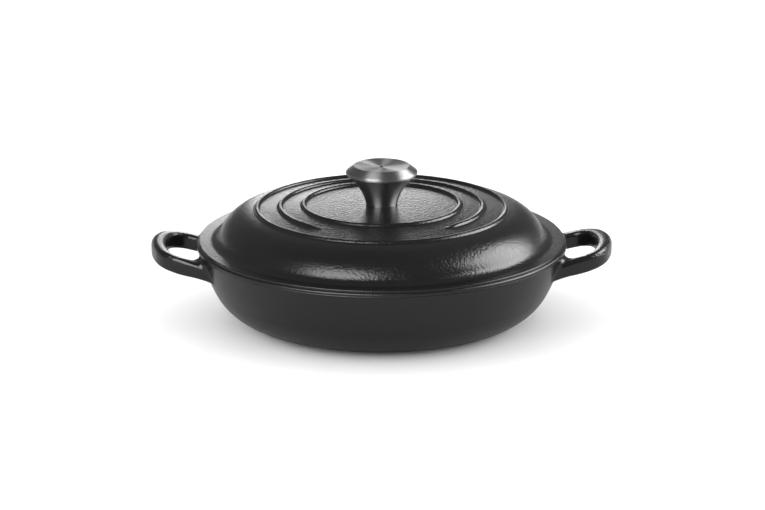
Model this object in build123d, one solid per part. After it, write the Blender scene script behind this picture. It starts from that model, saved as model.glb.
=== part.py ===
"""Round enamelled cast-iron braiser with two loop handles, a domed lid and a steel knob.

Millimetres, +Z up. The origin is the centre of the pan's flat underside, the handles lie on
the X axis, and -Y is the front, where the lid's middle ring is broken off.
"""
from build123d import *
import os
from math import asin, atan2, cos, degrees, hypot, radians, sin, sqrt, tan

# Pan
rim_radius = 151.8            # outside of the band round the rim
pan_height = 63.4             # underside to the rim's top, where the lid sits
casting_wall = 4.0            # floor and side
side_spread = 53.8            # rim band beyond the edge of the flat underside
corner_radius = 44.5          # outside round between underside and side
side_bow = 5.8                # degrees between the side's chord and its lower end's tangent
band_height = 3.9             # band round the rim
band_step = 0.5               # how far the band stands out from the side
rim_edge_radius = 1.7         # rounding of the rim's top edges

# Loop handles, cast with the pan
handle_projection = 37.4      # tip of the loop beyond the rim band
handle_half_width = 44.6      # axis to the outer face of an arm
arm_thickness = 12.4          # across an arm, in plan
grip_thickness = 12.2         # across the loop at its tip, in plan
handle_height = 12.6          # square to the loop's own plane
handle_drop = 13.2            # rim's top down to the loop's middle plane, at the rim band
handle_tilt = 13.5            # degrees the loop rises outwards
loop_corner_radius = 27.0     # outer corners, in plan
loop_bow_radius = 77.0        # outer face of the tip, in plan
loop_edge_radius = 3.2        # rounding of the loop's long edges
arm_straight = 5.0            # outer face of an arm, between its corner and its flare
inner_arm_straight = 6.2      # the same on the face towards the finger gap
flare_bury = 2.6              # how deep in the wall both flares end
root_bury = 26.0              # how far the arms run in behind the band and the flares
root_fillet_radius = 8.0      # handle to wall, all round

# Lid
lid_setback = 1.8             # lid's edge inside the rim band
flange_thickness = 2.6        # lid's outer edge
flange_width = 14.9           # lid's edge to the foot of its dome
flange_edge_radius = 0.9      # rounding of the flange's top edge
lid_wall = 3.6
crown_rise = 28.4             # flange's top to the knob's seat
crown_camber = 4.0            # fall of the crown from the knob's seat to the shoulder
shoulder_width = 33.5         # start of the shoulder to the foot of the dome
shoulder_mid_width_share = 0.346
shoulder_mid_height_share = 0.907
dome_foot_radius = 2.5        # hollow round between dome and flange
rib_clearance = 1.8           # locating rib inside the rim's bore
rib_width = 4.0
rib_depth = 4.0
rib_edge_radius = 0.8
screw_pad_radius = 10.0       # flat pad under the crown for the screw's washer
screw_pad_height = 1.0

# Raised rings on the lid
first_ring_radius = 64.1
last_ring_margin = 0.7        # outermost ring's middle beyond the crown's edge
ring_count = 3
broken_ring = 1               # counted from 0, from the middle out
broken_ring_gap = 78.0        # degrees left out at the front
ring_width = 4.5
ring_height = 2.0
ring_foot_radius = 1.0        # hollow round at the foot of a ring

# Knob: a pressed cap on a flared stem, both sheet steel
stem_base_radius = 12.7
stem_top_radius = 28.45
stem_height = 24.9            # lid to the seam under the cap
stem_flare_radius = 42.75
stem_sheet = 1.2
knob_seat_margin = 0.8        # lid's flat seat beyond the stem's base
cap_radius = 30.5             # corner of the cap's side, before rounding
cap_overhang = 0.25           # cap's hem beyond the stem's top
cap_side_height = 1.9         # hem to the side's corner
cap_lip_radius = 22.9         # corner of the cap's lip, before rounding
cap_height = 7.75             # hem to lip, before rounding
cap_dish_depth = 1.5
cap_side_rounding_share = 0.97   # of the largest that fits between hem and lip
cap_lip_rounding = 1.2
cap_sheet = 1.0
collar_height = 1.6           # stem's upstand inside the cap's hem
collar_clearance = 0.05

# Fastening inside the knob
screw_radius = 3.0
screw_length = 16.0           # under the head
screw_head_radius = 6.0
screw_head_height = 3.4
screw_head_rounding = 1.4
screw_slot_width = 1.4
screw_slot_depth = 1.7
screw_end_chamfer = 0.6
washer_radius = 8.0
washer_thickness = 1.2
washer_clearance = 0.2        # washer's bore round the screw
hole_clearance = 0.6          # lid's hole round the screw
thread_clearance = 0.05       # insert's bore round the screw
insert_radius = 6.5
insert_length = 14.0
insert_collar_radius = 8.5
insert_collar_thickness = 2.0
insert_spigot_radius = 4.6
spigot_clearance = 0.05
bore_end_room = 1.5           # insert's bore past the screw's tip
cut_overrun = 2.0             # cuts run this far past what they cut

# Worked out from the sizes above
base_radius = rim_radius - side_spread
lid_radius = rim_radius - lid_setback
flange_top = pan_height + flange_thickness
dome_radius = lid_radius - flange_width
shoulder_radius = dome_radius - shoulder_width
knob_seat = flange_top + crown_rise
seat_radius = stem_base_radius + knob_seat_margin
shoulder_height = crown_rise - crown_camber
hole_radius = screw_radius + hole_clearance
pad_face = knob_seat - lid_wall - screw_pad_height
washer_face = pad_face - washer_thickness
crease = knob_seat + stem_height


def arc_chain(points, heading):
    """Arcs through the points, each tangent to the one before; heading starts the first."""
    arcs = []
    for start, end in zip(points, points[1:]):
        arc = TangentArc(start, end, tangent=heading)
        heading = arc % 1
        arcs.append(arc)
    return arcs


def shifted(arcs, distance):
    """The same chain moved to the left of its travel, so that its arcs stay concentric."""
    headings = [arcs[0] % 0] + [arc % 1 for arc in arcs]
    ends = [arcs[0] @ 0] + [arc @ 1 for arc in arcs]
    moved = [(p.X - h.Y * distance, p.Y + h.X * distance) for p, h in zip(ends, headings)]
    return arc_chain(moved, (headings[0].X, headings[0].Y))


def outline(curves, *corners):
    """A face closed by straight runs from the end of the curves back to their start."""
    run = Polyline(curves[-1] @ 1, *corners, curves[0] @ 0)
    return make_face(Curve() + [*curves, run])


def turned(face, sweep=360.0):
    """Revolve a profile, drawn as radius and height, about the upright axis."""
    return revolve(Plane.YZ * face, Axis.Z, revolution_arc=sweep)


def upright(radius, foot, top):
    """Plain cylinder on the axis from one height to another."""
    return Pos(0, 0, foot) * Cylinder(radius, top - foot, align=(Align.CENTER, Align.CENTER, Align.MIN))


def rounded(face, places, radius):
    """Round the corners of a face that lie at the given places."""
    def nearest(place):
        return min(face.vertices(), key=lambda v: hypot(v.X - place[0], v.Y - place[1]))
    return fillet([nearest(place) for place in places], radius)


def pan_side():
    """Outside of the pan from the flat underside up to the rim band."""
    neck = (rim_radius - band_step, pan_height - band_height)
    out, up = neck[0] - base_radius, neck[1] - corner_radius
    bow = radians(side_bow)
    lean = atan2(up, out) - bow + asin(corner_radius * cos(bow) / hypot(out, up))
    corner_end = (base_radius + corner_radius * sin(lean), corner_radius * (1 - cos(lean)))
    return arc_chain([(base_radius, 0), corner_end, neck], (1, 0))


def side_radius(height):
    """Outside of the pan at a height below the rim band."""
    profile = Curve() + pan_side()
    return profile.intersect(Line((0, height), (rim_radius, height)))[0].X


def pan_body():
    """The pan's outer shape, filled in."""
    band_foot = pan_height - band_height + band_step
    band = [(rim_radius, band_foot), (rim_radius, pan_height)]
    return turned(outline(pan_side(), *band, (0, pan_height), (0, 0)))


def pan_hollow():
    """The cooking space, run up past the rim."""
    inside = shifted(pan_side(), casting_wall)
    over_rim = pan_height + cut_overrun
    face = outline(inside, ((inside[-1] @ 1).X, over_rim), (0, over_rim), (0, casting_wall))
    return turned(face)


def rim_bore_radius():
    """Inside of the rim."""
    return (shifted(pan_side(), casting_wall)[-1] @ 1).X


def bow_and_corners(reach, half_width, corner, bow):
    """Tip arc and the two corner arcs of the loop in plan, and where the corners are centred."""
    corner_y = half_width - corner
    bow_x = reach - bow
    corner_x = bow_x + sqrt((bow - corner) ** 2 - corner_y ** 2)
    half_turn = degrees(atan2(corner_y, corner_x - bow_x))
    upper = CenterArc((corner_x, corner_y), corner, half_turn, 90 - half_turn)
    lower = CenterArc((corner_x, -corner_y), corner, -90, 90 - half_turn)
    tip = CenterArc((bow_x, 0), bow, -half_turn, 2 * half_turn)
    return [lower, tip, upper]


def flare_end():
    """Distance from the axis at which the loop's flares end, inside the wall."""
    tilt = radians(handle_tilt)
    underside = pan_height - handle_drop - handle_height / 2 / cos(tilt) - root_bury * tan(tilt)
    return side_radius(underside) - flare_bury


def outward_flare(start_x, arm_y):
    """Arc from the arm's straight face outwards, to where it is nearest the axis."""
    nearest = flare_end()
    radius = (start_x ** 2 + arm_y ** 2 - nearest ** 2) / (2 * (nearest - arm_y))
    turn = degrees(atan2(start_x, arm_y + radius))
    return CenterArc((start_x, arm_y + radius), radius, -90, -turn)


def inward_flare(start_x, arm_y):
    """Quarter arc from the arm's straight face into the finger gap."""
    radius = start_x - flare_end()
    return CenterArc((start_x, arm_y - radius), radius, 90, 90)


def loop_plan():
    """The loop handle in plan, with arms that widen towards the wall."""
    reach = rim_radius + handle_projection
    outer = bow_and_corners(reach, handle_half_width, loop_corner_radius, loop_bow_radius)
    start_x = (outer[-1] @ 1).X - arm_straight
    spread = outward_flare(start_x, handle_half_width)
    far = spread @ 1
    buried = far * (1 - root_bury / far.length)
    left = Polyline(outer[0] @ 0, (start_x, -handle_half_width))
    right = Polyline(outer[-1] @ 1, spread @ 0)
    back = Polyline(far, buried, (buried.X, -buried.Y), (far.X, -far.Y))
    whole = make_face(Curve() + [*outer, left, right, spread, mirror(spread, about=Plane.XZ), back])

    gap_half_width = handle_half_width - arm_thickness
    gap_corner = loop_corner_radius - arm_thickness
    inner = bow_and_corners(reach - grip_thickness, gap_half_width, gap_corner,
                            loop_bow_radius - grip_thickness)
    start_x = (inner[-1] @ 1).X - inner_arm_straight
    narrow = inward_flare(start_x, gap_half_width)
    near = narrow @ 1
    left = Polyline(inner[0] @ 0, (start_x, -gap_half_width))
    right = Polyline(inner[-1] @ 1, narrow @ 0)
    back = Polyline(near, (near.X, -near.Y))
    gap = make_face(Curve() + [*inner, left, right, narrow, mirror(narrow, about=Plane.XZ), back])
    return whole - gap


def loop_handle():
    """One loop, on the +X side, upright in plan and cut to a slab that rises outwards."""
    tilt = radians(handle_tilt)
    middle = Plane(origin=(rim_radius, 0, pan_height - handle_drop),
                   x_dir=(cos(tilt), 0, sin(tilt)), z_dir=(-sin(tilt), 0, cos(tilt)))
    slab = middle * Box(2 * rim_radius, 2 * rim_radius, handle_height)
    prism = extrude(loop_plan(), amount=rim_radius)
    loop = prism & slab
    above = middle.offset(handle_height / 2)
    below = middle.offset(-handle_height / 2)
    faces = [f for f in loop.faces() if above.contains(f.center()) or below.contains(f.center())]
    nearest = flare_end()
    edges = [e for f in faces for e in f.edges() if hypot(e.center().X, e.center().Y) > nearest]
    return fillet(edges, loop_edge_radius)


def make_pan():
    """Pan casting with both loop handles."""
    body = pan_body()
    right = loop_handle()
    left = mirror(right, about=Plane.YZ)
    joined = body + right + left
    roots = new_edges(body, right, left, combined=joined)
    blended = fillet(roots, root_fillet_radius)
    pan = blended - pan_hollow()
    level = pan.faces().filter_by(Plane.XY)
    rim = min(level, key=lambda face: abs(face.center().Z - pan_height))
    return fillet(rim.edges(), rim_edge_radius)


def dome_side():
    """Top of the lid from the edge of the knob's seat out to the foot of the dome."""
    mid = (shoulder_radius + shoulder_mid_width_share * shoulder_width,
           flange_top + shoulder_mid_height_share * shoulder_height)
    places = [(seat_radius, knob_seat), (shoulder_radius, flange_top + shoulder_height), mid,
              (dome_radius, flange_top)]
    return arc_chain(places, (1, 0))


def crown_height(radius):
    """Height of the lid's top at a radius outside the knob's seat."""
    profile = Curve() + dome_side()
    return profile.intersect(Line((radius, flange_top), (radius, knob_seat)))[0].Y


def ring_radii():
    """Radii of the raised rings' middles, from the middle out."""
    pitch = (shoulder_radius + last_ring_margin - first_ring_radius) / (ring_count - 1)
    return [first_ring_radius + index * pitch for index in range(ring_count)]


def lid_shell():
    """Dome, flange, locating rib and whole rings, turned in one piece."""
    over = dome_side()
    under = shifted(over, -lid_wall)
    rib_outside = rim_bore_radius() - rib_clearance
    rib_inside = rib_outside - rib_width
    rib_foot = pan_height - rib_depth
    flange_under = flange_top - lid_wall
    inner_end = under[-1] @ 1
    fall = under[-1] % 1
    inner_foot = (inner_end.X + (inner_end.Y - flange_under) * -fall.X / fall.Y, flange_under)
    corners = [(lid_radius, flange_top), (lid_radius, pan_height), (rib_outside, pan_height),
               (rib_outside, rib_foot), (rib_inside, rib_foot), (rib_inside, flange_under), inner_foot]
    outside = Polyline(over[-1] @ 1, *corners, inner_end)
    inside = Polyline(under[0] @ 0, (0, knob_seat - lid_wall), (0, knob_seat), over[0] @ 0)
    face = make_face(Curve() + [*over, outside, *under, inside])
    face = rounded(face, [(dome_radius, flange_top)], dome_foot_radius)
    face = rounded(face, [corners[0]], flange_edge_radius)
    face = rounded(face, [corners[3], corners[4]], rib_edge_radius)
    for index, radius in enumerate(ring_radii()):
        if index != broken_ring:
            face = with_whole_ring(face, radius)
    return turned(face)


def ring_section(radius):
    """Round-topped section of a raised ring, with its foot down inside the lid's wall."""
    half = ring_width / 2
    round_radius = (half ** 2 + ring_height ** 2) / (2 * ring_height)
    crest = crown_height(radius) + ring_height
    depth = ring_height + lid_wall / 2
    room = Pos(radius, crest - depth / 2) * Rectangle(2 * ring_width, depth)
    return room & Pos(radius, crest - round_radius) * Circle(round_radius)


def with_whole_ring(face, radius):
    """Add a ring that runs all the way round to the lid's profile, with its feet rounded."""
    edges = [radius + side * ring_width / 2 for side in (-1, 1)]
    return rounded(face + ring_section(radius), [(r, crown_height(r)) for r in edges], ring_foot_radius)


def part_ring(radius, gap):
    """Ring with a gap centred on the front, and a round end on each side of the gap."""
    section = ring_section(radius)
    ring = Rot(Z=180 + gap / 2) * turned(section, 360 - gap)
    centred = Pos(-radius, 0) * section
    beyond_axis = Pos(ring_width, crown_height(radius)) * Rectangle(2 * ring_width, 2 * lid_wall)
    outer_half = centred & beyond_axis
    end = Pos(0, radius) * turned(outer_half)
    return ring + [Rot(Z=180 + side * gap / 2) * end for side in (-1, 1)]


def make_lid():
    """Lid casting: shell with its raised rings, screw pad and hole."""
    shell = lid_shell()
    ring = part_ring(ring_radii()[broken_ring], broken_ring_gap)
    joined = shell + ring
    lid = fillet(new_edges(shell, ring, combined=joined), ring_foot_radius)
    lid += upright(screw_pad_radius, pad_face, knob_seat - lid_wall / 2)
    return lid - upright(hole_radius, pad_face - cut_overrun, knob_seat + cut_overrun)


def stem_side():
    """Outside of the stem from its base up to the seam under the cap."""
    return RadiusArc((stem_base_radius, knob_seat), (stem_top_radius, crease), stem_flare_radius)


def stem_bore_at_crease():
    """Inside radius of the stem's sheet at its top."""
    inside = shifted([stem_side()], stem_sheet)[0]
    top = Line((0, crease), (stem_top_radius, crease))
    return inside.intersect(top)[0].X


def hem_bore_radius():
    """Inside radius of the cap's sheet at its hem, where its side leans outwards."""
    hem = stem_top_radius + cap_overhang
    lean = hypot(cap_side_height, cap_radius - hem) / cap_side_height
    return hem - cap_sheet * lean


def make_stem():
    """Flared stem with a closed floor and an upstand that fits inside the cap's hem."""
    side = stem_side()
    body = turned(outline([side], (0, crease), (0, knob_seat)))
    inside = shifted([side], stem_sheet)
    over = crease + cut_overrun
    hollow = turned(outline(inside, ((inside[0] @ 1).X, over), (0, over), (0, knob_seat)))
    hollow -= upright(stem_top_radius, knob_seat - cut_overrun, knob_seat + stem_sheet)
    collar_radius = hem_bore_radius() - collar_clearance
    collar = upright(collar_radius, crease - stem_sheet / 2, crease + collar_height)
    collar -= upright(stem_bore_at_crease(), crease - stem_sheet, crease + collar_height + cut_overrun)
    hole = upright(insert_spigot_radius + spigot_clearance, knob_seat - cut_overrun,
                   knob_seat + stem_sheet + cut_overrun)
    return body - hollow + collar - hole


def largest_rounding(before, corner, after):
    """Largest round that fits at a corner, up to the end of its shorter side."""
    legs = [(p[0] - corner[0], p[1] - corner[1]) for p in (before, after)]
    between = abs(atan2(legs[0][1], legs[0][0]) - atan2(legs[1][1], legs[1][0]))
    return min(hypot(*leg) for leg in legs) * abs(tan(between / 2))


def make_cap():
    """Pressed cap with a dished top and a rounded side, open below."""
    hem = stem_top_radius + cap_overhang
    side = (cap_radius, crease + cap_side_height)
    lip = (cap_lip_radius, crease + cap_height)
    dish = TangentArc((0, lip[1] - cap_dish_depth), lip, tangent=(1, 0))
    face = outline([dish], side, (hem, crease), (0, crease))
    face = rounded(face, [side], cap_side_rounding_share * largest_rounding((hem, crease), side, lip))
    face = rounded(face, [lip], cap_lip_rounding)
    solid = turned(face)
    mouth = solid.faces().sort_by(Axis.Z)[0]
    return offset(solid, amount=-cap_sheet, openings=mouth)


def make_insert():
    """Threaded insert that stands on the stem's floor, with a spigot down through it."""
    floor = knob_seat + stem_sheet
    insert = upright(insert_collar_radius, floor, floor + insert_collar_thickness)
    insert += upright(insert_radius, floor, knob_seat + insert_length)
    insert += upright(insert_spigot_radius, knob_seat, floor)
    bore_end = washer_face + screw_length + bore_end_room
    return insert - upright(screw_radius + thread_clearance, knob_seat - cut_overrun, bore_end)


def make_screw():
    """Slotted screw that holds the knob from inside the lid."""
    shank = upright(screw_radius, washer_face, washer_face + screw_length)
    shank = chamfer(shank.edges().sort_by(Axis.Z)[-1], screw_end_chamfer)
    head_foot = washer_face - screw_head_height
    head = upright(screw_head_radius, head_foot, washer_face)
    head = fillet(head.edges().group_by(Axis.Z)[0], screw_head_rounding)
    slot = Pos(0, 0, head_foot) * Box(2 * screw_head_radius + cut_overrun, screw_slot_width,
                                      2 * screw_slot_depth)
    return shank + head - slot


def make_washer():
    """Flat washer between the screw's head and the lid."""
    washer = upright(washer_radius, washer_face, pad_face)
    return washer - upright(screw_radius + washer_clearance, washer_face - cut_overrun,
                            pad_face + cut_overrun)


pieces = {
    "pan": make_pan,
    "lid": make_lid,
    "knob_cap": make_cap,
    "knob_stem": make_stem,
    "knob_insert": make_insert,
    "knob_screw": make_screw,
    "screw_washer": make_washer,
}

os.makedirs("parts", exist_ok=True)
for name, make in pieces.items():
    export_step(make(), f"parts/{name}.step")
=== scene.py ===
"""Looks of a round enamelled cast-iron braiser with two loop handles, a domed lid and a steel knob.

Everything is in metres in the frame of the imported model: +Z up, the handles along X, and the
front, where the lid's middle ring is broken off, towards -Y.
"""
import logging
import math
from dataclasses import dataclass
from enum import Enum
from typing import Iterable, Mapping, Optional, Sequence, Union

import bmesh
import bpy
import numpy as np
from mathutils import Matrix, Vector


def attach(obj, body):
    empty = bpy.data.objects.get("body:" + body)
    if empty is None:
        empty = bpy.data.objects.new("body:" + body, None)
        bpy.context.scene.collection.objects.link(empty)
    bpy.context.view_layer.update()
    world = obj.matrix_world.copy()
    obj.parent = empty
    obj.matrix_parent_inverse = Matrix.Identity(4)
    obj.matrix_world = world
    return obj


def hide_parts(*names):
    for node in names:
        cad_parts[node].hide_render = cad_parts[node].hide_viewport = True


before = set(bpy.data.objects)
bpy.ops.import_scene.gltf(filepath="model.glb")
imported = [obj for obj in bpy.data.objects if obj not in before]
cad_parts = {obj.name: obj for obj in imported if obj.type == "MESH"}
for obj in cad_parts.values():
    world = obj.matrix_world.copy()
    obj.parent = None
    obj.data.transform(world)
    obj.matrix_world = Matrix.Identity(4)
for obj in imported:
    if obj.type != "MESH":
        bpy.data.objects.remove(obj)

log = logging.getLogger("braiser")

Number = Union[int, float]
Place = tuple[float, float]
Triple = tuple[float, float, float]
MM = 0.001


class Body(Enum):
    """The two bodies that pieces ride on."""

    PAN = "pan_body"
    LID = "lid_body"


class Slot(Enum):
    """The record's material slots."""

    PAN_ENAMEL = "pan_enamel"
    LID_ENAMEL = "lid_enamel"
    CAP_STEEL = "cap_steel"
    STEM_STEEL = "stem_steel"
    FASTENER_STEEL = "fastener_steel"


class Value:
    """A shader socket that can be used in a Python expression."""

    def __init__(self, nodes: "Nodes", socket: bpy.types.NodeSocket) -> None:
        """Wrap an output socket of a node in the given tree."""
        self.nodes = nodes
        self.socket = socket

    def _math(self, operation: str, *values: Union["Value", Number]) -> "Value":
        """Add a Math node that works on this expression's values."""
        made = self.nodes.add("ShaderNodeMath", {"operation": operation}, dict(enumerate(values)))
        return made["Value"]

    def __add__(self, other: Union["Value", Number]) -> "Value":
        """Sum of two values."""
        return self._math("ADD", self, other)

    def __radd__(self, other: Number) -> "Value":
        """Sum with a number on the left."""
        return self._math("ADD", other, self)

    def __sub__(self, other: Union["Value", Number]) -> "Value":
        """Difference of two values."""
        return self._math("SUBTRACT", self, other)

    def __rsub__(self, other: Number) -> "Value":
        """Difference from a number on the left."""
        return self._math("SUBTRACT", other, self)

    def __mul__(self, other: Union["Value", Number]) -> "Value":
        """Product of two values."""
        return self._math("MULTIPLY", self, other)

    def __rmul__(self, other: Number) -> "Value":
        """Product with a number on the left."""
        return self._math("MULTIPLY", other, self)

    def atan2(self, other: "Value") -> "Value":
        """Angle in radians of the point (other, self)."""
        return self._math("ARCTAN2", self, other)

    def sine(self) -> "Value":
        """Sine of an angle in radians."""
        return self._math("SINE", self)

    def root(self) -> "Value":
        """Square root."""
        return self._math("SQRT", self)

    def step(self, low: float, high: float) -> "Value":
        """Smooth step that is 0 up to low and 1 from high.

        Args:
            low: Where the step starts.
            high: Where it ends.

        Returns:
            A value from 0 to 1.
        """
        settings = {"interpolation_type": "SMOOTHSTEP", "clamp": True}
        sockets = {"Value": self, "From Min": low, "From Max": high, "To Min": 0.0, "To Max": 1.0}
        return self.nodes.add("ShaderNodeMapRange", settings, sockets)["Result"]

    def between(self, low: float, high: float) -> "Value":
        """Straight scale of 0..1 onto low..high."""
        return self * (high - low) + low


class Nodes:
    """One material's or world's node tree, and the single way in which nodes are added to it."""

    def __init__(self, tree: bpy.types.NodeTree) -> None:
        """Empty the tree.

        Args:
            tree: The tree to fill.
        """
        self.tree = tree
        self.tree.nodes.clear()

    def add(self, kind: str, settings: Optional[Mapping[str, object]] = None,
            sockets: Optional[Mapping[Union[str, int], object]] = None) -> dict[str, Value]:
        """Add a node.

        Args:
            kind: The node's type.
            settings: Properties that are set before its sockets.
            sockets: A number, colour or linked value for each input, by name or index.

        Returns:
            The node's enabled outputs by name.
        """
        node = self.tree.nodes.new(kind)
        for name, value in (settings or {}).items():
            setattr(node, name, value)
        for name, value in (sockets or {}).items():
            target = self._input(node, name)
            if isinstance(value, Value):
                self.tree.links.new(value.socket, target)
            else:
                target.default_value = value
        return {out.name: Value(self, out) for out in node.outputs if out.enabled}

    @staticmethod
    def _input(node: bpy.types.Node, name: Union[str, int]) -> bpy.types.NodeSocket:
        """Find an enabled input by name or index."""
        if isinstance(name, int):
            return node.inputs[name]
        return next(i for i in node.inputs if i.name == name and i.enabled)

    def mix_colour(self, share: Value, first: object, second: object) -> Value:
        """Mix two colours by a value.

        Args:
            share: 0 for the first colour, 1 for the second.
            first: A colour or a linked colour.
            second: A colour or a linked colour.

        Returns:
            The mixed colour.
        """
        made = self.add("ShaderNodeMix", {"data_type": "RGBA"},
                        {"Factor": share, "A": first, "B": second})
        return made["Result"]

    def place(self) -> dict[str, Value]:
        """Position on the object at rest, as X, Y and Z in metres."""
        point = self.add("ShaderNodeTexCoord")["Object"]
        parts = self.add("ShaderNodeSeparateXYZ", None, {"Vector": point})
        return {"point": point, **parts}

    def noise(self, point: Value, scale: float, detail: float = 2.0, roughness: float = 0.5) -> Value:
        """Noise from 0 to 1.

        Args:
            point: Where it is read.
            scale: Features per metre.
            detail: Octaves.
            roughness: Strength of the finer octaves.

        Returns:
            The noise's value.
        """
        sockets = {"Vector": point, "Scale": scale, "Detail": detail, "Roughness": roughness}
        return self.add("ShaderNodeTexNoise", None, sockets)["Fac"]

    def bump(self, height: Value, distance: float, normal: Optional[Value] = None) -> Value:
        """Bumped normal.

        Args:
            height: Height from 0 to 1.
            distance: What a height of 1 measures, in metres.
            normal: A normal that is bumped already.

        Returns:
            The normal.
        """
        sockets: dict[Union[str, int], object] = {"Height": height, "Distance": distance}
        if normal is not None:
            sockets["Normal"] = normal
        return self.add("ShaderNodeBump", None, sockets)["Normal"]


def grey(level: float) -> tuple[float, float, float, float]:
    """Neutral colour of a linear level."""
    return (level, level, level, 1.0)


@dataclass(frozen=True)
class Enamel:
    """Satin black vitreous enamel, fired over a sand casting."""

    name: str
    colour: Triple = (0.0072, 0.0072, 0.0075)
    roughness_low: float = 0.18
    roughness_high: float = 0.30
    pebble_scale: float = 480.0
    pebble_depth: float = 0.27 * MM
    grain_scale: float = 1000.0
    grain_depth: float = 0.10 * MM
    wave_scale: float = 45.0
    wave_depth: float = 0.04 * MM

    def relief(self, nodes: Nodes, place: dict[str, Value], pebbles: Value) -> Value:
        """Waves, pebbles and grain of the fired coat.

        Args:
            nodes: The material's nodes.
            place: Position on the piece.
            pebbles: Height of the casting's pebbles, from 0 to 1.

        Returns:
            The bumped normal.
        """
        point = place["point"]
        normal = nodes.bump(nodes.noise(point, self.wave_scale, 1.0), self.wave_depth)
        normal = nodes.bump(pebbles, self.pebble_depth, normal)
        return nodes.bump(nodes.noise(point, self.grain_scale, 1.0), self.grain_depth, normal)

    def build(self) -> bpy.types.Material:
        """Make the material.

        Returns:
            The material.
        """
        material = bpy.data.materials.new(self.name)
        material.use_nodes = True
        nodes = Nodes(material.node_tree)
        place = nodes.place()
        cloud = nodes.noise(place["point"], self.wave_scale * 0.5, 3.0)
        pebbles = nodes.noise(place["point"], self.pebble_scale, 1.5, 0.45)
        speckle = (cloud + pebbles) * 0.5
        dark = (*(c * 0.5 for c in self.colour), 1.0)
        light = (*(c * 1.5 for c in self.colour), 1.0)
        shader = nodes.add("ShaderNodeBsdfPrincipled", None, {
            "Base Color": nodes.mix_colour(speckle, dark, light),
            "Roughness": speckle.between(self.roughness_low, self.roughness_high),
            "IOR": 1.5,
            "Normal": self.relief(nodes, place, pebbles),
        })
        nodes.add("ShaderNodeOutputMaterial", None, {"Surface": shader["BSDF"]})
        return material


@dataclass(frozen=True)
class BandedEnamel(Enamel):
    """The same enamel on the pan, with flutes on its rim band and crowned loop handles."""

    band_foot: float = 59.6 * MM
    band_blend: float = 0.2 * MM
    flute_count: int = 400
    flute_depth: float = 0.05 * MM
    stir_scale: float = 260.0
    stir_angle: float = 4.0
    ridge_half_width: float = 0.5 * MM
    ridge_depth: float = 0.12 * MM
    arm_middle: float = 38.4 * MM
    corner_centre: Place = (159.1 * MM, 17.57 * MM)
    corner_radius: float = 20.83 * MM
    bow_centre: float = 112.36 * MM
    bow_radius: float = 70.76 * MM
    loop_half_width: float = 6.2 * MM
    crown_start: float = 150.0 * MM
    crown_full: float = 166.0 * MM
    crown_depth: float = 2.5 * MM
    crest_shift: float = 1.3 * MM
    seam: float = 0.1 * MM

    def crown(self, place: dict[str, Value]) -> Value:
        """Fall of the loops' crowned faces from their crest, which fades at the wall.

        Args:
            place: Position on the piece.

        Returns:
            A height that is 0 on the crest and falls to about -1 at the loop's faces.
        """
        along, across = ((place[axis] * place[axis]).root() for axis in ("X", "Y"))
        corner_along = along - self.corner_centre[0]
        corner_across = across - self.corner_centre[1]
        bow_along = along - self.bow_centre
        from_arm = across - self.arm_middle
        corner_reach = (corner_along * corner_along + corner_across * corner_across).root()
        from_corner = corner_reach - self.corner_radius
        from_bow = (bow_along * bow_along + across * across).root() - self.bow_radius
        fan = self.corner_centre[1] / (self.corner_centre[0] - self.bow_centre)
        past_arm = corner_along.step(-self.seam, self.seam)
        on_bow = (bow_along * fan - across).step(-self.seam, self.seam)
        from_curve = from_corner + (from_bow - from_corner) * on_bow
        away = from_arm + (from_curve - from_arm) * past_arm + self.crest_shift
        quarter = math.pi / 2
        fall = (away * (quarter / self.loop_half_width) + quarter).sine() - 1.0
        return fall * along.step(self.crown_start, self.crown_full)

    def relief(self, nodes: Nodes, place: dict[str, Value], pebbles: Value) -> Value:
        """The plain coat, upright flutes on the rim band, and the ridge along the band's foot.

        Args:
            nodes: The material's nodes.
            place: Position on the piece.
            pebbles: Height of the casting's pebbles, from 0 to 1.

        Returns:
            The bumped normal.
        """
        normal = super().relief(nodes, place, pebbles)
        turn = place["Y"].atan2(place["X"])
        stir = nodes.noise(place["point"], self.stir_scale) * self.stir_angle
        flutes = (turn * self.flute_count + stir).sine()
        on_band = place["Z"].step(self.band_foot - self.band_blend, self.band_foot + self.band_blend)
        normal = nodes.bump(flutes * on_band, self.flute_depth, normal)
        crest = self.band_foot + self.ridge_half_width
        ridge = (place["Z"].step(self.band_foot, crest)
                 - place["Z"].step(crest, crest + self.ridge_half_width))
        normal = nodes.bump(ridge, self.ridge_depth, normal)
        return nodes.bump(self.crown(place), self.crown_depth, normal)


@dataclass(frozen=True)
class Steel:
    """Stainless steel whose fine lines run round the upright axis."""

    name: str
    level: float = 0.55
    roughness: float = 0.2
    anisotropy: float = 0.0
    scratch_scale: float = 900.0
    scratch_depth: float = 0.004 * MM

    def build(self) -> bpy.types.Material:
        """Make the material.

        Returns:
            The material.
        """
        material = bpy.data.materials.new(self.name)
        material.use_nodes = True
        nodes = Nodes(material.node_tree)
        place = nodes.place()
        radius = (place["X"] * place["X"] + place["Y"] * place["Y"]).root()
        rings = nodes.add("ShaderNodeCombineXYZ", None, {"X": radius, "Z": place["Z"]})["Vector"]
        lines = nodes.noise(rings, self.scratch_scale, 3.0, 0.7)
        cloud = nodes.noise(place["point"], self.scratch_scale * 0.1, 2.0)
        shader = nodes.add("ShaderNodeBsdfPrincipled", None, {
            "Base Color": nodes.mix_colour(cloud, grey(self.level * 0.92), grey(self.level * 1.05)),
            "Metallic": 1.0,
            "Roughness": lines.between(self.roughness * 0.8, self.roughness * 1.25),
            "Anisotropic": self.anisotropy,
            "Anisotropic Rotation": 0.25,
            "Normal": nodes.bump(lines, self.scratch_depth),
        })
        nodes.add("ShaderNodeOutputMaterial", None, {"Surface": shader["BSDF"]})
        return material


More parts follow.
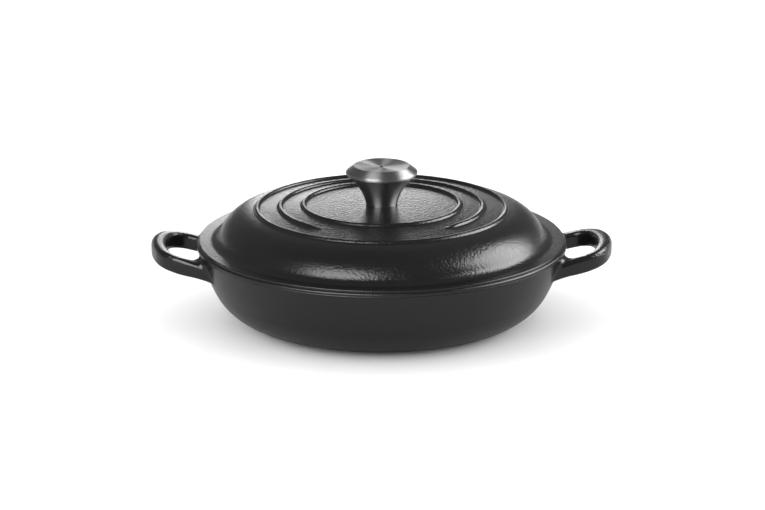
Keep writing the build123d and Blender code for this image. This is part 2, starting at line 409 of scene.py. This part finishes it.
class Profile:
    """Section of a turned piece as a run of places, each a radius and a height in millimetres."""

    ARC_STEP = math.radians(4.0)
    LONGEST_STEP = 3.0

    def __init__(self, start: Place, heading: Place = (1.0, 0.0)) -> None:
        """Start a run.

        Args:
            start: Where it starts.
            heading: Direction in which a first arc leaves.
        """
        self.places = [start]
        self.heading = heading

    def line_to(self, end: Place) -> "Profile":
        """Straight run to a place."""
        start = self.places[-1]
        length = math.dist(start, end)
        self.heading = ((end[0] - start[0]) / length, (end[1] - start[1]) / length)
        self.places.append(end)
        return self

    def arc_to(self, end: Place) -> "Profile":
        """Arc to a place, tangent to what comes before it."""
        start, (across, along) = self.places[-1], self.heading
        run = (end[0] - start[0], end[1] - start[1])
        aside = -run[0] * along + run[1] * across
        forward = run[0] * across + run[1] * along
        radius = (run[0] ** 2 + run[1] ** 2) / (2 * aside)
        turn = 2 * math.atan2(aside, forward)
        centre = (start[0] - along * radius, start[1] + across * radius)
        count = math.ceil(max(abs(turn) / self.ARC_STEP, abs(turn * radius) / self.LONGEST_STEP, 2))
        arm = (start[0] - centre[0], start[1] - centre[1])
        for index in range(1, count + 1):
            x, y = self.turned(arm, turn * index / count)
            self.places.append((centre[0] + x, centre[1] + y))
        self.heading = self.turned(self.heading, turn)
        return self

    @staticmethod
    def turned(arrow: Place, angle: float) -> Place:
        """An arrow turned by an angle in radians."""
        cosine, sine = math.cos(angle), math.sin(angle)
        return arrow[0] * cosine - arrow[1] * sine, arrow[0] * sine + arrow[1] * cosine

    def round_off(self, corner: Place, radius: float) -> "Profile":
        """Round a corner of the run.

        Args:
            corner: The corner's place.
            radius: Radius of the round.

        Returns:
            This profile.
        """
        at = min(range(len(self.places)), key=lambda i: math.dist(self.places[i], corner))
        before, after = self.places[at::-1], self.places[at:]
        ways = [math.atan2(b[1] - a[1], b[0] - a[0]) for a, b in
                ((self.places[at - 1], self.places[at]), (self.places[at], self.places[at + 1]))]
        turn = (ways[1] - ways[0] + math.pi) % (2 * math.pi) - math.pi
        back = radius * math.tan(abs(turn) / 2)
        kept_before, start = self.cut_back(before, back)
        kept_after, end = self.cut_back(after, back)
        pull = 4 / 3 * math.tan(abs(turn) / 4) * radius / back
        steps = max(3, math.ceil(abs(turn) / math.radians(12)))
        bend = [self.bezier(start, self.places[at], end, pull, i / steps) for i in range(steps + 1)]
        self.places = kept_before[::-1] + bend + kept_after
        return self

    @staticmethod
    def cut_back(run: Sequence[Place], length: float) -> tuple[list[Place], Place]:
        """What is left of a run beyond a length from its start, and the place of the cut."""
        at, left = 0, length
        while math.dist(run[at], run[at + 1]) < left:
            left -= math.dist(run[at], run[at + 1])
            at += 1
        share = left / math.dist(run[at], run[at + 1])
        cut = tuple(a + (b - a) * share for a, b in zip(run[at], run[at + 1]))
        return list(run[at + 1:]), cut

    @staticmethod
    def bezier(start: Place, corner: Place, end: Place, pull: float, share: float) -> Place:
        """Place on the curve that rounds a corner."""
        rest = 1 - share
        weights = (rest ** 3 + 3 * rest ** 2 * share * (1 - pull),
                   3 * rest * share * pull,
                   share ** 3 + 3 * rest * share ** 2 * (1 - pull))
        return tuple(weights[0] * a + weights[1] * b + weights[2] * c
                     for a, b, c in zip(start, corner, end))

    def shifted(self, distance: float) -> list[Place]:
        """The same run moved to the left of its travel."""
        run = np.array(self.places)
        way = np.gradient(run, axis=0)
        way /= np.linalg.norm(way, axis=1)[:, None]
        left = np.stack((-way[:, 1], way[:, 0]), axis=1)
        return [tuple(place) for place in run + left * distance]


def turned_piece(name: str, rim: Sequence[Place], angles: np.ndarray,
                 raised: Optional[np.ndarray] = None) -> bpy.types.Object:
    """Turn a closed section about the upright axis.

    Args:
        name: The piece's name.
        rim: The section's places in millimetres, outwards over its top and back under it.
        angles: Angles in radians of the upright half-planes that it is sampled in.
        raised: Extra height in millimetres for each place and angle.

    Returns:
        The piece, smooth but for its sharp edges.
    """
    section = np.array(rim)
    count, turns = len(section), len(angles)
    grid = np.empty((count, turns, 3))
    grid[..., 0] = section[:, 0, None] * np.cos(angles)
    grid[..., 1] = section[:, 0, None] * np.sin(angles)
    grid[..., 2] = section[:, 1, None] + (0.0 if raised is None else raised)
    first, second = np.meshgrid(np.arange(count), np.arange(turns), indexing="ij")
    after, beyond = (first + 1) % count, (second + 1) % turns
    faces = np.stack((first * turns + second, after * turns + second, after * turns + beyond,
                      first * turns + beyond), axis=-1).reshape(-1, 4)
    mesh = bpy.data.meshes.new(name)
    mesh.from_pydata((grid.reshape(-1, 3) * MM).tolist(), [], faces.tolist())
    close_poles(mesh)
    mesh.shade_smooth()
    mesh.set_sharp_from_angle(angle=math.radians(32.0))
    piece = bpy.data.objects.new(name, mesh)
    bpy.context.scene.collection.objects.link(piece)
    return piece


def close_poles(mesh: bpy.types.Mesh) -> None:
    """Join the vertices that lie on the axis, and drop the edges that this leaves without faces."""
    work = bmesh.new()
    work.from_mesh(mesh)
    bmesh.ops.remove_doubles(work, verts=work.verts, dist=MM / 1000)
    bmesh.ops.delete(work, geom=[edge for edge in work.edges if not edge.link_faces], context="EDGES")
    work.to_mesh(mesh)
    work.free()


def fit(piece: bpy.types.Object, node: str, body: Body, material: bpy.types.Material) -> None:
    """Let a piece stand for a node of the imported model.

    Args:
        piece: The piece.
        node: The node that it stands for.
        body: The body that it rides on.
        material: Its finish.
    """
    piece.data.materials.append(material)
    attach(piece, body.value)
    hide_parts(node)
    log.info("%s stands for %s with %d faces", piece.name, node, len(piece.data.polygons))


def dress(node: str, material: bpy.types.Material) -> None:
    """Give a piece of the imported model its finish.

    Args:
        node: The piece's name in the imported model.
        material: Its finish.
    """
    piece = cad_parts[node]
    for index in range(len(piece.material_slots)):
        piece.material_slots[index].material = material
    log.info("%s wears %s", node, material.name)


@dataclass
class Pan:
    """The pan casting with its two loop handles."""

    finish: Enamel = BandedEnamel("pan_enamel_satin_black", pebble_depth=0.10 * MM,
                                  grain_depth=0.03 * MM)

    def build(self) -> None:
        """Dress the casting."""
        dress("pan", self.finish.build())


@dataclass
class Lid:
    """The lid casting with its raised rings. Sizes are in millimetres."""

    finish: Enamel = Enamel("lid_enamel_satin_black")
    hole_radius: float = 3.6
    seat_radius: float = 13.5
    seat_height: float = 94.4
    crown_edge: Place = (64.1, 93.5)
    shoulder: Place = (101.6, 90.4)
    shoulder_mid: Place = (113.19, 88.13)
    dome_foot: Place = (135.1, 65.2)
    foot_round: float = 8.5
    edge_radius: float = 150.0
    edge_round: float = 0.8
    rim_height: float = 63.4
    wall: float = 3.6
    rib_outside: float = 145.6
    rib_inside: float = 141.6
    rib_foot: float = 59.4
    rib_round: float = 0.8
    pad_radius: float = 10.0
    pad_height: float = 89.8
    ring_radii: tuple[float, ...] = (64.1, 83.2, 102.3)
    broken_ring: int = 1
    broken_gap: float = 77.0
    run_out: float = 8.0
    end_share: float = 0.35
    ring_half_width: float = 2.25
    ring_height: float = 2.0
    ring_foot_round: float = 1.0

    def build(self) -> None:
        """Make the casting and dress it."""
        top = self.top()
        places = top + self.underside()
        angles = self.angles()
        raised = np.zeros((len(places), len(angles)))
        raised[:len(top)] = self.raised(np.array(top)[:, 0], angles)
        piece = turned_piece("lid_casting", places, angles, raised)
        fit(piece, "lid", Body.LID, self.finish.build())

    def dome(self) -> Profile:
        """Section of the lid's top from the knob's seat to the foot of the dome."""
        run = Profile((self.seat_radius, self.seat_height)).arc_to(self.crown_edge)
        return run.line_to(self.shoulder).arc_to(self.shoulder_mid).arc_to(self.dome_foot)

    def top(self) -> list[Place]:
        """Section of the top and the edge, with closely spaced places across the rings."""
        run = self.dome()
        run.line_to((self.edge_radius, self.dome_foot[1])).line_to((self.edge_radius, self.rim_height))
        run.round_off(self.dome_foot, self.foot_round)
        run.round_off((self.edge_radius, self.dome_foot[1]), self.edge_round)
        reach = self.ring_half_width + self.ring_foot_round
        last = self.ring_radii[-1] + reach
        across = np.linspace(-reach, reach, 25)
        close = np.concatenate([radius + across for radius in self.ring_radii])
        apart = np.arange(self.seat_radius, last, 2.0)
        apart = apart[np.abs(apart[:, None] - self.ring_radii).min(axis=1) > reach + 0.5]
        radii = np.sort(np.concatenate((close, apart)))
        heights = np.interp(radii, *np.array(run.places).T)
        inner = [(self.hole_radius, self.seat_height)]
        outer = [place for place in run.places if place[0] > last + 0.5]
        return inner + list(zip(radii.tolist(), heights.tolist())) + outer

    def underside(self) -> list[Place]:
        """Section from the edge back under the flange, round the rib and up to the hole."""
        inside = self.dome().shifted(-self.wall)
        fall = (inside[-1][0] - inside[-2][0]) / (inside[-1][1] - inside[-2][1])
        flange_under = self.dome_foot[1] - self.wall
        foot = (inside[-1][0] + (flange_under - inside[-1][1]) * fall, flange_under)
        run = Profile((self.edge_radius - self.edge_round, self.rim_height))
        corners = [(self.rib_outside, self.rim_height), (self.rib_outside, self.rib_foot),
                   (self.rib_inside, self.rib_foot), (self.rib_inside, flange_under), foot]
        for corner in corners:
            run.line_to(corner)
        for corner in corners[1:3]:
            run.round_off(corner, self.rib_round)
        pad = [(self.pad_radius, self.seat_height - self.wall), (self.pad_radius, self.pad_height),
               (self.hole_radius, self.pad_height)]
        return run.places + inside[::-1] + pad

    def angles(self) -> np.ndarray:
        """Angles of the sampled half-planes, closely spaced at the broken ring's ends."""
        even = np.radians(np.arange(0.0, 360.0, 1.0))
        close = np.radians(np.arange(-2.5, 2.51, 0.25))
        ends = [self.end_angle(side) + close for side in (-1, 1)]
        return np.unique(np.round(np.concatenate((even, *ends)) % (2 * math.pi), 6))

    def end_angle(self, side: int) -> float:
        """Angle in radians of the broken ring's end on one side of the front."""
        return math.radians(270.0 + side * self.broken_gap / 2)

    def raised(self, radii: np.ndarray, angles: np.ndarray) -> np.ndarray:
        """Height of the rings above the crown.

        Args:
            radii: Radius of each place of the top's section, in millimetres.
            angles: Angles of the sampled half-planes, in radians.

        Returns:
            The height in millimetres for each place and angle.
        """
        height = np.zeros((len(radii), len(angles)))
        for index, ring in enumerate(self.ring_radii):
            away = np.abs(radii - ring)[:, None] * np.ones(len(angles))
            if index == self.broken_ring:
                away = np.where(self.in_gap(angles), self.from_ends(radii, angles, ring), away)
                height += self.ring_section(away) * self.end_fall(angles)
            else:
                height += self.ring_section(away)
        return height

    def end_fall(self, angles: np.ndarray) -> np.ndarray:
        """Share of its height that the broken ring has, low at its ends and full from the run-out on."""
        along = np.abs(np.degrees(angles) - 270.0) - self.broken_gap / 2
        rise = np.clip(along / self.run_out, 0.0, 1.0)
        return self.end_share + (1 - self.end_share) * rise * rise * (3 - 2 * rise)

    def in_gap(self, angles: np.ndarray) -> np.ndarray:
        """Which angles lie in the gap of the broken ring."""
        return np.abs(np.degrees(angles) - 270.0) < self.broken_gap / 2

    def from_ends(self, radii: np.ndarray, angles: np.ndarray, ring: float) -> np.ndarray:
        """Distance in plan from the nearer end of the broken ring's middle line."""
        x, y = radii[:, None] * np.cos(angles), radii[:, None] * np.sin(angles)
        ends = [(ring * math.cos(a), ring * math.sin(a)) for a in map(self.end_angle, (-1, 1))]
        return np.minimum(*(np.hypot(x - end[0], y - end[1]) for end in ends))

    def ring_section(self, away: np.ndarray) -> np.ndarray:
        """Height of a ring's round top and hollow foot at a distance from its middle line."""
        top_radius = (self.ring_half_width ** 2 + self.ring_height ** 2) / (2 * self.ring_height)
        centre = self.ring_height - top_radius
        foot = self.ring_foot_round
        foot_middle = math.sqrt((top_radius + foot) ** 2 - (foot - centre) ** 2)
        meet = foot_middle * top_radius / (top_radius + foot)
        over = centre + np.sqrt(np.maximum(top_radius ** 2 - away ** 2, 0.0))
        hollow = foot - np.sqrt(np.maximum(foot ** 2 - (foot_middle - away) ** 2, 0.0))
        return np.where(away < meet, over, np.where(away < foot_middle, hollow, 0.0))


@dataclass
class Knob:
    """Cap, stem and fastening of the knob. Sizes are in millimetres."""

    cap_finish: Steel = Steel("cap_brushed_steel", level=0.33, roughness=0.42, anisotropy=0.9)
    stem_finish: Steel = Steel("stem_polished_steel", level=0.42, roughness=0.29, anisotropy=0.9)
    fastener_finish: Steel = Steel("fastener_turned_steel", level=0.55, roughness=0.3)
    seat_height: float = 94.4
    crease: float = 119.3
    dish_height: float = 125.55
    lip: Place = (22.9, 127.05)
    lip_round: float = 1.9
    side: Place = (30.5, 121.2)
    side_round: float = 2.29
    hem_radius: float = 28.7
    hem_bore_radius: float = 27.32
    cap_sheet: float = 1.0
    stem_foot_radius: float = 12.7
    stem_top_radius: float = 28.45
    stem_foot_heading: Place = (0.2107, 0.9775)
    stem_sheet: float = 1.2
    floor_hole: float = 4.65
    collar_radius: float = 27.27
    collar_height: float = 1.6
    turn_count: int = 256

    def build(self) -> None:
        """Make the cap and the stem, and dress the knob's pieces."""
        angles = np.linspace(0.0, 2 * math.pi, self.turn_count, endpoint=False)
        fit(turned_piece("knob_cap_pressing", self.cap(), angles), "knob_cap", Body.LID,
            self.cap_finish.build())
        fit(turned_piece("knob_stem_flare", self.stem(), angles), "knob_stem", Body.LID,
            self.stem_finish.build())
        fastener = self.fastener_finish.build()
        for node in ("knob_insert", "knob_screw", "screw_washer"):
            dress(node, fastener)

    def cap(self) -> list[Place]:
        """Section of the cap's sheet, over the dish and back inside."""
        run = Profile((0.0, self.dish_height)).arc_to(self.lip).line_to(self.side)
        run.line_to((self.hem_radius, self.crease))
        run.round_off(self.lip, self.lip_round).round_off(self.side, self.side_round)
        inside = [(max(x, 0.0), y) for x, y in run.shifted(-self.cap_sheet)]
        inside[-1] = (self.hem_bore_radius, self.crease)
        return run.places + inside[::-1]

    def stem(self) -> list[Place]:
        """Section of the stem's sheet, down its outside, up its inside and round the collar."""
        run = Profile((self.stem_foot_radius, self.seat_height), self.stem_foot_heading)
        run.arc_to((self.stem_top_radius, self.crease))
        floor = self.seat_height + self.stem_sheet
        bore_radii, bore_heights = np.array(run.shifted(self.stem_sheet)).T
        heights = np.linspace(floor, self.crease, 12)
        bore = list(zip(np.interp(heights, bore_heights, bore_radii).tolist(), heights.tolist()))
        top = self.crease + self.collar_height
        collar = [(bore[-1][0], top), (self.collar_radius, top), (self.collar_radius, self.crease)]
        foot = [(self.floor_hole, self.seat_height), (self.floor_hole, floor)]
        return run.places[::-1] + foot + bore + collar


@dataclass(frozen=True)
class Softbox:
    """A rectangular studio lamp, placed by where it is seen from the object."""

    name: str
    azimuth: float
    elevation: float
    distance: float
    width: float
    height: float
    brightness: float
    lights_floor: bool = False

    def build(self, aim: Vector) -> None:
        """Make the lamp.

        Args:
            aim: The point that it faces.
        """
        turn, rise = math.radians(self.azimuth), math.radians(self.elevation)
        towards = Vector((math.sin(turn) * math.cos(rise), math.cos(turn) * math.cos(rise),
                          math.sin(rise)))
        lamp = bpy.data.lights.new(self.name, "AREA")
        lamp.shape = "RECTANGLE"
        lamp.size, lamp.size_y = self.width, self.height
        lamp.energy = self.brightness * self.width * self.height * math.pi
        holder = bpy.data.objects.new(self.name, lamp)
        bpy.context.scene.collection.objects.link(holder)
        holder.location = aim + towards * self.distance
        holder.rotation_mode = "QUATERNION"
        holder.rotation_quaternion = (-towards).to_track_quat("-Z", "Y")
        holder.visible_camera = False
        holder.visible_diffuse = self.lights_floor
        holder.visible_glossy = not self.lights_floor


@dataclass
class Studio:
    """Pale floor, soft lamps, plain surroundings and the camera.

    The tent's lamps light the floor only and the softboxes are only mirrored, so the floor's
    shadow and the gloss on the enamel are set apart from each other.
    """

    floor_half_width: float = 2.5
    floor_level: float = 0.54
    floor_shown_level: float = 1.0
    surround_level: float = 0.18
    aim: Triple = (0.0, 0.0, 0.066)
    distance: float = 3.0
    elevation: float = 16.13
    yaw: float = 0.9
    focal_px: float = 3651.6
    picture_width_px: float = 765.0
    sensor_mm: float = 36.0
    centre_right_px: float = 0.85
    centre_down_px: float = 18.26

    def build(self) -> None:
        """Make the floor, the lamps, the surroundings and the camera."""
        self.make_floor()
        self.make_world()
        aim = Vector(self.aim)
        for box in (
            Softbox("tent_top", 0.0, 89.0, 2.2, 5.0, 5.0, 0.55, lights_floor=True),
            Softbox("tent_back", 0.0, 22.0, 2.6, 5.0, 2.0, 1.9, lights_floor=True),
            Softbox("tent_right", 90.0, 22.0, 2.6, 5.0, 2.0, 3.2, lights_floor=True),
            Softbox("tent_front", 180.0, 22.0, 2.6, 5.0, 2.0, 0.6, lights_floor=True),
            Softbox("tent_left", -90.0, 22.0, 2.6, 5.0, 2.0, 3.2, lights_floor=True),
            Softbox("back_softbox", -2.0, 6.8, 2.2, 0.5, 0.60, 3.5),
            Softbox("back_haze", 0.0, 8.0, 2.4, 0.9, 0.75, 0.5),
            Softbox("right_softbox", 81.0, 27.0, 1.8, 1.5, 1.3, 8.2),
            Softbox("front_left_softbox", -148.5, 26.0, 1.8, 1.3, 1.25, 7.0),
        ):
            box.build(aim)
        self.make_camera()

    def make_floor(self) -> None:
        """Make the floor that the pan stands on."""
        half = self.floor_half_width
        mesh = bpy.data.meshes.new("floor")
        mesh.from_pydata([(-half, -half, 0), (half, -half, 0), (half, half, 0), (-half, half, 0)],
                         [], [(0, 1, 2, 3)])
        floor = bpy.data.objects.new("floor", mesh)
        bpy.context.scene.collection.objects.link(floor)
        material = bpy.data.materials.new("pale_floor")
        material.use_nodes = True
        nodes = Nodes(material.node_tree)
        colour = nodes.mix_colour(self.seen_directly(nodes), grey(self.floor_level),
                                  grey(self.floor_shown_level))
        shader = nodes.add("ShaderNodeBsdfDiffuse", None, {"Color": colour})
        nodes.add("ShaderNodeOutputMaterial", None, {"Surface": shader["BSDF"]})
        mesh.materials.append(material)

    @staticmethod
    def seen_directly(nodes: Nodes) -> Value:
        """1 for rays from the camera, and 0 for all others."""
        return nodes.add("ShaderNodeLightPath")["Is Camera Ray"]

    def make_world(self) -> None:
        """Make the dim surroundings, white where the camera looks past the floor."""
        world = bpy.data.worlds.new("studio")
        bpy.context.scene.world = world
        world.use_nodes = True
        nodes = Nodes(world.node_tree)
        colour = nodes.mix_colour(self.seen_directly(nodes), grey(self.surround_level), grey(1.0))
        back = nodes.add("ShaderNodeBackground", None, {"Color": colour, "Strength": 1.0})
        nodes.add("ShaderNodeOutputWorld", None, {"Surface": back["Background"]})

    def make_camera(self) -> None:
        """Make the camera at the photograph's angle."""
        rise, turn = math.radians(self.elevation), math.radians(self.yaw)
        back = Vector((-math.sin(turn) * math.cos(rise), -math.cos(turn) * math.cos(rise),
                       math.sin(rise)))
        right = Vector((math.cos(turn), -math.sin(turn), 0))
        up = back.cross(right)
        eye = Vector(self.aim) + back * self.distance
        per_px = self.distance / self.focal_px
        centre = (Vector(self.aim) + right * self.centre_right_px * per_px
                  - up * self.centre_down_px * per_px)
        camera = bpy.data.cameras.new("camera")
        camera.sensor_width = self.sensor_mm
        camera.lens = self.focal_px / self.picture_width_px * self.sensor_mm
        holder = bpy.data.objects.new("camera", camera)
        bpy.context.scene.collection.objects.link(holder)
        holder.location = eye
        holder.rotation_mode = "QUATERNION"
        holder.rotation_quaternion = (centre - eye).to_track_quat("-Z", "Y")
        bpy.context.scene.camera = holder


def main() -> None:
    """Build the studio and every sub-assembly."""
    logging.basicConfig(level=logging.INFO, format="%(name)s: %(message)s")
    bpy.context.scene.view_settings.view_transform = "Standard"
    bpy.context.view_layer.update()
    for assembly in (Studio(), Pan(), Lid(), Knob()):
        assembly.build()
        log.info("built %s", type(assembly).__name__)


if __name__ == "__main__":
    main()
